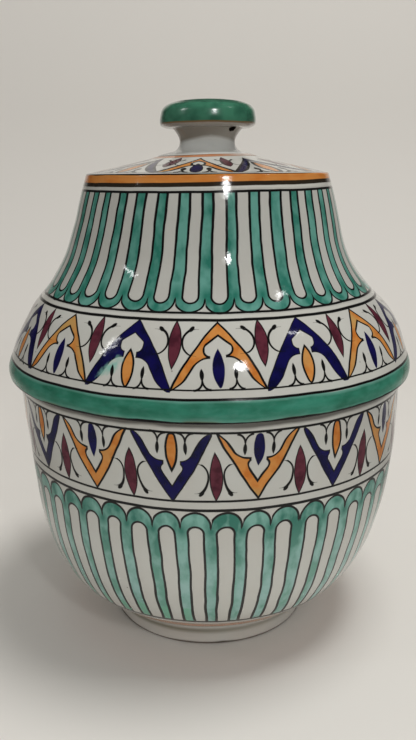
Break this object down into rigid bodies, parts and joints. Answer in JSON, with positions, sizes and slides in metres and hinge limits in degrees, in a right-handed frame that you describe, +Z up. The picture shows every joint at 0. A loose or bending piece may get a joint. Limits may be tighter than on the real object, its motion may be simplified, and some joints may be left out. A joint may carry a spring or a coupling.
{
  "type": "covered ceramic jar",
  "caption": "Footed earthenware bowl with a bell-shaped lift-off lid, rounded edge bead and a hollow waisted knob, glazed and painted in stripes and zigzag bands.",
  "frame": {"origin": "middle of the foot ring's underside, on the ground", "axes": "+Z up the jar's axis; -Y is the pictured front; +X to the viewer's right"},
  "size_m": [0.2256, 0.2256, 0.2909],
  "materials": {
    "bowl_glaze": "glossy tin-white glaze with painted green stripes and zigzag band",
    "lid_glaze": "glossy tin-white glaze with painted orange, blue and green bands",
    "knob_glaze": "glossy green glaze on the head, white on the stem"
  },
  "bodies": {
    "bowl": {"bowl": "bowl_glaze"},
    "lid": {"lid": "lid_glaze", "lid_knob": "knob_glaze"}
  },
  "joints": [
    {"name": "lid_lift", "type": "slide", "parent": "bowl", "child": "lid", "axis": [0, 0, 1], "range_m": [0, 0.12]}
  ]
}
